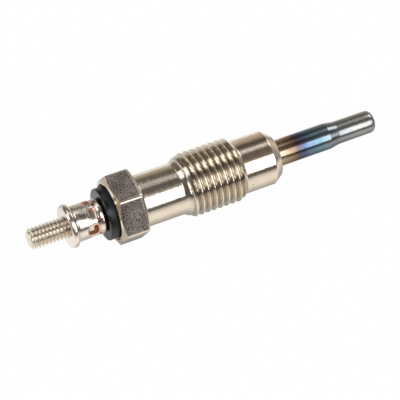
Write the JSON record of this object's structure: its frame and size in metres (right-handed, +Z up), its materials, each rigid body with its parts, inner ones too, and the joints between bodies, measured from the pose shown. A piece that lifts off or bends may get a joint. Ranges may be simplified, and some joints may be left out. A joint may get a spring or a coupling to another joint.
{
  "type": "diesel glow plug",
  "caption": "Sheathed-element diesel glow plug: hexagon-headed threaded steel shell with a sealing cone, stepped heater tube, insulating washer, crimped collar and threaded terminal stud.",
  "frame": {"origin": "on the plug's axis, at the large edge of the sealing cone on the shell's nose", "axes": "+X along the axis towards the heater tip, +Z up with the plug lying on one flat of its hexagon"},
  "size_m": [0.0695, 0.0138, 0.012],
  "materials": {
    "shell_nickel": "warm nickel plate, bright turned faces, dull hexagon flats with rubbed edges",
    "rod_nickel": "warm nickel plate on the thread",
    "collar_nickel": "bright nickel plate, coppery in the crimp dents",
    "insulator_black": "satin black moulding",
    "seal_rubber": "dull black rubber",
    "tube_alloy": "temper colours from straw and brown through violet to pale blue, bare satin tip",
    "packed_powder": "packed white powder",
    "coil_wire": "resistance wire"
  },
  "bodies": {
    "root": {"shell": "shell_nickel", "centre_rod": "rod_nickel", "crimp_collar": "collar_nickel", "insulating_washer": "insulator_black", "rod_seal": "seal_rubber", "heater_tube": "tube_alloy", "tube_seal": "seal_rubber", "insulating_powder": "packed_powder", "control_coil": "coil_wire", "heating_coil": "coil_wire"}
  },
  "joints": []
}
